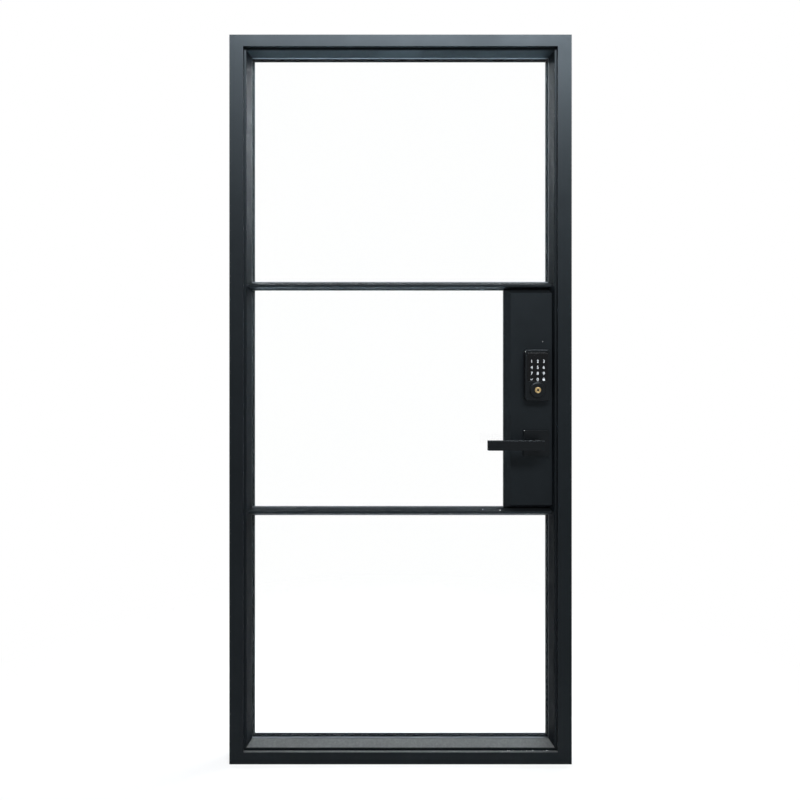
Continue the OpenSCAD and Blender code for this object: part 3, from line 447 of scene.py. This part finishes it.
def easedNode(name, width, rim=None):  # rim: a larger rounding round the outside of one face
    bm = mergedCopy(name)
    if rim:
        low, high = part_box(name)
        inset = rim["inset"]
        outer = []
        for edge in sharpEdges(bm):
            ends = [v.co for v in edge.verts]
            onFace = all(abs(co.y - rim["depth"]) < mend["onFace"] for co in ends)
            inside = all(low.x + inset < co.x < high.x - inset and low.z + inset < co.z < high.z - inset
                         for co in ends)
            if onFace and not inside:
                outer.append(edge)
        easeEdges(bm, outer, rim["width"], rim["segments"])
    easeEdges(bm, [e for e in sharpEdges(bm) if name not in mitred or not onMitre(e)], width, 2)
    smoothShade(bm)
    piece = addPiece("eased_" + name, bm, bodyOf[name], finishOf(name), slotOf[name])
    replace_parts(piece, name)


# edges of the metal pieces
mitred = ("jamb_hinge", "jamb_lock", "head", "sill", "stile_hinge", "stile_lock", "rail_top", "rail_bottom")
edges = {
    "jamb_hinge": 0.0007, "jamb_lock": 0.0007, "head": 0.0007, "sill": 0.0007,
    "stile_hinge": 0.0007, "stile_lock": 0.0007, "rail_top": 0.0007, "rail_bottom": 0.0007,
    "bar_upper": 0.0004, "bar_lower": 0.0004,
    "beads_top": 0.0003, "beads_middle": 0.0003, "beads_bottom": 0.0003,
    "lock_box": 0.0006, "lock_stile": 0.0006, "lock_box_cover": 0.0005,
    "rose_outer": 0.0010, "rose_inner": 0.0010, "cylinder_guard": 0.0013, "cylinder_body": 0.0007,
    "key_plug": 0.0002, "thumb_turn": 0.0010, "battery_cover": 0.0007,
    "latch_forend": 0.0004, "deadbolt_forend": 0.0004, "latch_strike": 0.0004, "deadbolt_strike": 0.0004,
    "latch_bolt": 0.0005, "deadbolt_bolt": 0.0005,
    "hinge_bottom_frame_half": 0.0008, "hinge_middle_frame_half": 0.0008, "hinge_top_frame_half": 0.0008,
    "hinge_bottom_leaf_half": 0.0008, "hinge_middle_leaf_half": 0.0008, "hinge_top_leaf_half": 0.0008,
}
for name, width in edges.items():
    easedNode(name, width)
rims = {
    "keypad_housing": {"depth": -0.029, "width": 0.0024, "segments": 4, "inset": 0.0035, "edge": 0.0004},
    "inner_housing": {"depth": 0.065, "width": 0.0035, "segments": 4, "inset": 0.0035, "edge": 0.0004},
}
for name, rim in rims.items():
    easedNode(name, rim["edge"], rim)
print("edges eased")

# touch screen with a sloped lip at its top
screen = {"lip": 0.0042, "slope": 0.0016, "edge": 0.0004, "creaseDegrees": 12}
screenLow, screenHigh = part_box("keypad_screen")
lipZ = screenHigh.z - screen["lip"]
bm = mergedCopy("keypad_screen")
everything = bm.verts[:] + bm.edges[:] + bm.faces[:]
bmesh.ops.bisect_plane(bm, geom=everything, plane_co=(0, 0, lipZ), plane_no=(0, 0, 1))
for vert in bm.verts:
    if vert.co.y < screenLow.y + mend["onFace"] and vert.co.z > lipZ:
        vert.co.y += screen["slope"] * (vert.co.z - lipZ) / screen["lip"]
easeEdges(bm, sharpEdges(bm), screen["edge"], 2)
smoothShade(bm, screen["creaseDegrees"])
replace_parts(addPiece("lipped_screen", bm, "leaf", finishes["touch_screen"], "touch_screen"), "keypad_screen")
print("screen made")


# shapes that several pieces share
def addBar(bm, centre, size, turn=0.0):  # a block turned in the door's plane
    made = bmesh.ops.create_cube(bm, size=1.0)["verts"]
    bmesh.ops.scale(bm, verts=made, vec=size)
    bmesh.ops.rotate(bm, verts=made, cent=(0, 0, 0), matrix=Matrix.Rotation(math.radians(turn), 3, "Y"))
    bmesh.ops.translate(bm, verts=made, vec=centre)
    return made


def addRod(bm, centre, radius, length, segments=56):  # a round rod along Y
    made = bmesh.ops.create_cone(bm, cap_ends=True, segments=segments, radius1=radius, radius2=radius,
                                 depth=length)["verts"]
    bmesh.ops.rotate(bm, verts=made, cent=(0, 0, 0), matrix=Matrix.Rotation(math.radians(90), 3, "X"))
    bmesh.ops.translate(bm, verts=made, vec=centre)
    return made


def turned(profile, axisX, axisZ, steps=72):  # a profile of (radius, y) spun about a Y axis
    bm = bmesh.new()
    line = [bm.verts.new((axisX + radius, y, axisZ)) for radius, y in profile]
    for first, second in zip(line, line[1:]):
        bm.edges.new((first, second))
    bmesh.ops.spin(bm, geom=bm.verts[:] + bm.edges[:], cent=(axisX, 0, axisZ), axis=(0, 1, 0),
                   angle=math.tau, steps=steps, use_merge=True)
    bmesh.ops.remove_doubles(bm, verts=bm.verts, dist=mend["double"])
    bmesh.ops.recalc_face_normals(bm, faces=bm.faces)
    return bm


# street lever: a flat bar on a round neck
lever = {"axisX": 0.387, "axisZ": 0.903, "reach": 0.146, "tail": 0.013, "height": 0.028, "thick": 0.011,
         "clear": 0.047, "wall": -0.007, "neck": 0.011, "edge": 0.0012, "gap": 0.001}
bm = bmesh.new()
barX = lever["axisX"] + (lever["tail"] - lever["reach"]) / 2
barY = lever["wall"] - lever["clear"] - lever["thick"] / 2
addBar(bm, (barX, barY, lever["axisZ"]), (lever["reach"] + lever["tail"], lever["thick"], lever["height"]))
easeEdges(bm, bm.edges[:], lever["edge"], 3)
neckEnd = lever["wall"] - lever["gap"]
addRod(bm, (lever["axisX"], (neckEnd + barY) / 2, lever["axisZ"]), lever["neck"], neckEnd - barY)
smoothShade(bm)
piece = addPiece("bar_lever", bm, "lever_set", finishes["black_hardware"], "black_hardware")
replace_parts(piece, "lever_outer")
print("lever made")

# room knob: a neck that flares into a flat round grip with a shallow dish
knob = {"radius": 0.025, "back": 0.067, "front": 0.091, "neck": 0.011, "foot": 0.034, "footEdge": 0.0008,
        "flare": 0.004, "dish": 0.017, "dishEdge": 0.002, "dishDepth": 0.0012, "rim": 0.006, "arcSteps": 8,
        "creaseDegrees": 30}
quarter = [math.pi / 2 * step / knob["arcSteps"] for step in range(knob["arcSteps"] + 1)]
profile = [(knob["neck"] + knob["footEdge"], knob["foot"]), (knob["neck"], knob["foot"] + knob["footEdge"]),
           (knob["neck"], knob["back"] - knob["flare"])]
for angle in quarter:  # hollow flare from the neck to the back of the grip
    profile.append((knob["neck"] + knob["flare"] * (1 - math.cos(angle)),
                    knob["back"] - knob["flare"] * (1 - math.sin(angle))))
for centreY, start in ((knob["back"] + knob["rim"], -math.pi / 2), (knob["front"] - knob["rim"], 0.0)):
    for angle in quarter:  # rounded rim
        profile.append((knob["radius"] - knob["rim"] * (1 - math.cos(start + angle)),
                        centreY + knob["rim"] * math.sin(start + angle)))
dishFloor = knob["front"] - knob["dishDepth"]
profile += [(knob["dish"], knob["front"]), (knob["dish"] - knob["dishEdge"], dishFloor), (0.0, dishFloor)]
bm = turned(profile, lever["axisX"], lever["axisZ"])
smoothShade(bm, knob["creaseDegrees"])
piece = addPiece("turned_knob", bm, "lever_set", finishes["black_hardware"], "black_hardware")
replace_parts(piece, "knob_inner")
print("knob made")

# white figures and two plain signs on the touch screen
keys = {"columns": (0.370, 0.387, 0.404), "rows": (1.1360, 1.1190, 1.1020, 1.0850), "height": 0.0086,
        "capShare": 0.70, "lift": 0.00012, "thick": 0.00012}
figureY = screenLow.y - keys["lift"]


def placeFigure(sign, x, z):
    letter = bpy.data.curves.new("figure" + sign, "FONT")
    letter.body = sign
    letter.size = keys["height"] / keys["capShare"]
    letter.align_x = "CENTER"
    letter.extrude = keys["thick"] / 2
    holder = bpy.data.objects.new("letterHolder", letter)
    scene.collection.objects.link(holder)
    bpy.context.view_layer.update()
    flat = bpy.data.meshes.new_from_object(holder.evaluated_get(bpy.context.evaluated_depsgraph_get()))
    bpy.data.objects.remove(holder)
    bm = bmesh.new()
    bm.from_mesh(flat)
    bmesh.ops.rotate(bm, verts=bm.verts, cent=(0, 0, 0), matrix=Matrix.Rotation(math.radians(90), 3, "X"))
    bmesh.ops.translate(bm, verts=bm.verts, vec=(x, figureY, z - keys["height"] / 2))
    addPiece("figure_" + sign, bm, "leaf", figures, "touch_screen")


for index in range(9):
    placeFigure(str(index + 1), keys["columns"][index % 3], keys["rows"][index // 3])
placeFigure("0", keys["columns"][1], keys["rows"][3])
leftX, rightX, signZ = keys["columns"][0], keys["columns"][2], keys["rows"][3]
tick = {"line": 0.0012, "short": 0.0036, "shortX": -0.0015, "shortZ": -0.0008, "long": 0.0058,
        "longX": 0.0013, "slant": 45}
bm = bmesh.new()
addBar(bm, (leftX + tick["shortX"], figureY, signZ + tick["shortZ"]),
       (tick["short"], keys["thick"], tick["line"]), tick["slant"])
addBar(bm, (leftX + tick["longX"], figureY, signZ),
       (tick["long"], keys["thick"], tick["line"]), -tick["slant"])
addPiece("sign_tick", bm, "leaf", figures, "touch_screen")
padlock = {"line": 0.0009, "wide": 0.0062, "tall": 0.0044, "bodyZ": -0.0014, "legX": 0.0018, "legZ": 0.0020,
           "leg": 0.0028, "bowZ": 0.0034, "bow": 0.0045}
bm = bmesh.new()
addBar(bm, (rightX, figureY, signZ + padlock["bodyZ"]), (padlock["wide"], keys["thick"], padlock["tall"]))
for side in (-1, 1):
    addBar(bm, (rightX + side * padlock["legX"], figureY, signZ + padlock["legZ"]),
           (padlock["line"], keys["thick"], padlock["leg"]))
addBar(bm, (rightX, figureY, signZ + padlock["bowZ"]), (padlock["bow"], keys["thick"], padlock["line"]))
addPiece("sign_padlock", bm, "leaf", figures, "touch_screen")
print("figures made")

# painted shade: a dark block and a dark disc, set just proud of the plug's face, stand in for the shade in the
# keyway and in the round hollow at its middle
keywayShade = {"x": 0.387, "z": 1.055, "wide": 0.0028, "tall": 0.0086, "proud": 0.00015, "deep": 0.0012,
          "hollow": 0.0031, "hollowShare": 0.8, "segments": 32}
keywayShadeMiddle = (keywayShade["x"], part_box("key_plug")[0].y + (keywayShade["deep"] - keywayShade["proud"]) / 2, keywayShade["z"])
bm = bmesh.new()
addBar(bm, keywayShadeMiddle, (keywayShade["wide"], keywayShade["deep"] + keywayShade["proud"], keywayShade["tall"]))
addRod(bm, keywayShadeMiddle, keywayShade["hollow"], keywayShade["deep"] + keywayShade["proud"] * keywayShade["hollowShare"],
       keywayShade["segments"])
addPiece("keywayShade", bm, "key_plug", finishes["black_hardware"], "black_hardware")
print("keyway made")

# screws with a six sided socket
screw = {"segments": 36, "socket": 0.0016, "socketDeep": 0.0012, "shankShare": 0.55, "creaseDegrees": 30}
screwSets = {"cover_screws": Vector((0, 1, 0)), "strike_screws": Vector((-1, 0, 0)),
             "forend_screws": Vector((1, 0, 0))}  # which way the heads face


def islands(bm):  # the vertices of one screw after another
    met = set()
    for start in bm.verts:
        if start in met:
            continue
        met.add(start)
        group = [start]
        for vert in group:
            near = [edge.other_vert(vert) for edge in vert.link_edges]
            fresh = [other for other in near if other not in met]
            met.update(fresh)
            group.extend(fresh)
        yield group


def addScrew(bm, group, outward):
    low = Vector([min(v.co[i] for v in group) for i in range(3)])
    high = Vector([max(v.co[i] for v in group) for i in range(3)])
    length = abs((high - low).dot(outward))
    radius = max(high - low - outward * outward.dot(high - low)) / 2
    before = set(bm.verts)
    made = bmesh.ops.create_cone(bm, cap_ends=True, segments=screw["segments"],
                                 radius1=radius * screw["shankShare"], radius2=radius, depth=length)["verts"]
    top = max({face for v in made for face in v.link_faces}, key=lambda face: face.calc_center_median().z)
    bmesh.ops.inset_individual(bm, faces=[top], thickness=radius - screw["socket"])
    for vert in top.verts:  # the round inset becomes a hexagon
        angle = math.atan2(vert.co.y, vert.co.x)
        reach = screw["socket"] * math.cos(math.pi / 6) / math.cos(angle % (math.pi / 3) - math.pi / 6)
        vert.co.x, vert.co.y = reach * math.cos(angle), reach * math.sin(angle)
    bottom = bmesh.ops.extrude_discrete_faces(bm, faces=[top])["faces"][0]
    bmesh.ops.translate(bm, verts=bottom.verts, vec=(0, 0, -screw["socketDeep"]))
    place = Matrix.Translation((low + high) / 2) @ outward.to_track_quat("Z", "Y").to_matrix().to_4x4()
    bmesh.ops.transform(bm, verts=[v for v in bm.verts if v not in before], matrix=place)


for name, outward in screwSets.items():
    source = mergedCopy(name)
    bm = bmesh.new()
    for group in islands(source):
        addScrew(bm, group, outward)
    source.free()
    smoothShade(bm, screw["creaseDegrees"])
    piece = addPiece("socket_" + name, bm, bodyOf[name], finishes[slotOf[name]], slotOf[name])
    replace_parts(piece, name)
print("screws made")

# weld beads along the outer edge of each hinge plate
weld = {"radius": 0.0021, "steps": 15, "inset": 0.003, "flat": 0.75, "sink": 0.0004, "creaseDegrees": 60}
for height in ("bottom", "middle", "top"):
    for half in ("frame", "leaf"):
        low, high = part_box("hinge_%s_%s_half" % (height, half))
        x = low.x if half == "frame" else high.x
        bm = bmesh.new()
        for step in range(weld["steps"]):
            z = low.z + weld["inset"] + (high.z - low.z - 2 * weld["inset"]) * step / (weld["steps"] - 1)
            drop = bmesh.ops.create_icosphere(bm, subdivisions=2, radius=weld["radius"])["verts"]
            bmesh.ops.scale(bm, verts=drop, vec=(1, weld["flat"], 1))
            bmesh.ops.translate(bm, verts=drop, vec=(x, low.y + weld["sink"], z))
        smoothShade(bm, weld["creaseDegrees"])
        addPiece("weld_%s_%s" % (height, half), bm, half, finishes["coated_steel"], "coated_steel")
print("welds made")

# finger ridges on the battery cover
ridges = {"count": 5, "pitch": 0.0035, "wide": 0.022, "tall": 0.0013, "proud": 0.0006, "fromTop": 0.010,
          "edge": 0.0003}
coverLow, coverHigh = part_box("battery_cover")
bm = bmesh.new()
for step in range(ridges["count"]):
    z = coverHigh.z - ridges["fromTop"] - step * ridges["pitch"]
    addBar(bm, ((coverLow.x + coverHigh.x) / 2, coverHigh.y, z),
           (ridges["wide"], 2 * ridges["proud"], ridges["tall"]))
easeEdges(bm, sharpEdges(bm), ridges["edge"], 2)
smoothShade(bm)
addPiece("cover_ridges", bm, "leaf", finishes["black_hardware"], "black_hardware")
print("ridges made")

# pale specks on the lock box, one of them at the rose's corner, and on the lower bar, and dust grit along the
# sill
flecks = {"places": ((0.3520, -0.0291, 1.1632, 0.0014), (0.4055, -0.0071, 1.1915, 0.0013),
                     (0.3520, -0.0151, 0.9382, 0.0013)), "flat": (1, 0.3, 0.8)}  # x, y, z and radius
barFlecks = {"places": ((0.285, -0.002), (0.236, 0.001)), "radius": 0.0016, "fromZ": 0.75}
grit = {"from": 0.30, "to": 0.42, "count": 16, "y": -0.0245, "strip": 0.004, "fromZ": 0.06,
        "small": 0.0005, "large": 0.0011, "flat": (1.3, 1, 0.6), "seed": 5}


def landing(name, x, y, z):  # where a speck that falls from there comes to rest
    copy = mergedCopy(name)
    place = BVHTree.FromBMesh(copy).ray_cast(Vector((x, y, z)), Vector((0, 0, -1)))[0]
    copy.free()
    return place


def addSpeck(bm, place, radius, flat):
    made = bmesh.ops.create_icosphere(bm, subdivisions=1, radius=radius)["verts"]
    bmesh.ops.scale(bm, verts=made, vec=flat)
    bmesh.ops.translate(bm, verts=made, vec=place)


bm = bmesh.new()
for x, y, z, radius in flecks["places"]:
    addSpeck(bm, (x, y, z), radius, flecks["flat"])
for x, y in barFlecks["places"]:
    addSpeck(bm, landing("beads_middle", x, y, barFlecks["fromZ"]), barFlecks["radius"], (1, 1, 1))
addPiece("pale_flecks", bm, "leaf", speckPaint, "black_hardware")
shuffle = random.Random(grit["seed"])
bm = bmesh.new()
for step in range(grit["count"]):
    x = grit["from"] + (grit["to"] - grit["from"]) * shuffle.random()
    y = grit["y"] + grit["strip"] * shuffle.random()
    radius = grit["small"] + (grit["large"] - grit["small"]) * shuffle.random()
    addSpeck(bm, landing("sill", x, y, grit["fromZ"]), radius, grit["flat"])
addPiece("sill_grit", bm, "frame", speckPaint, "coated_steel")
print("dust placed")
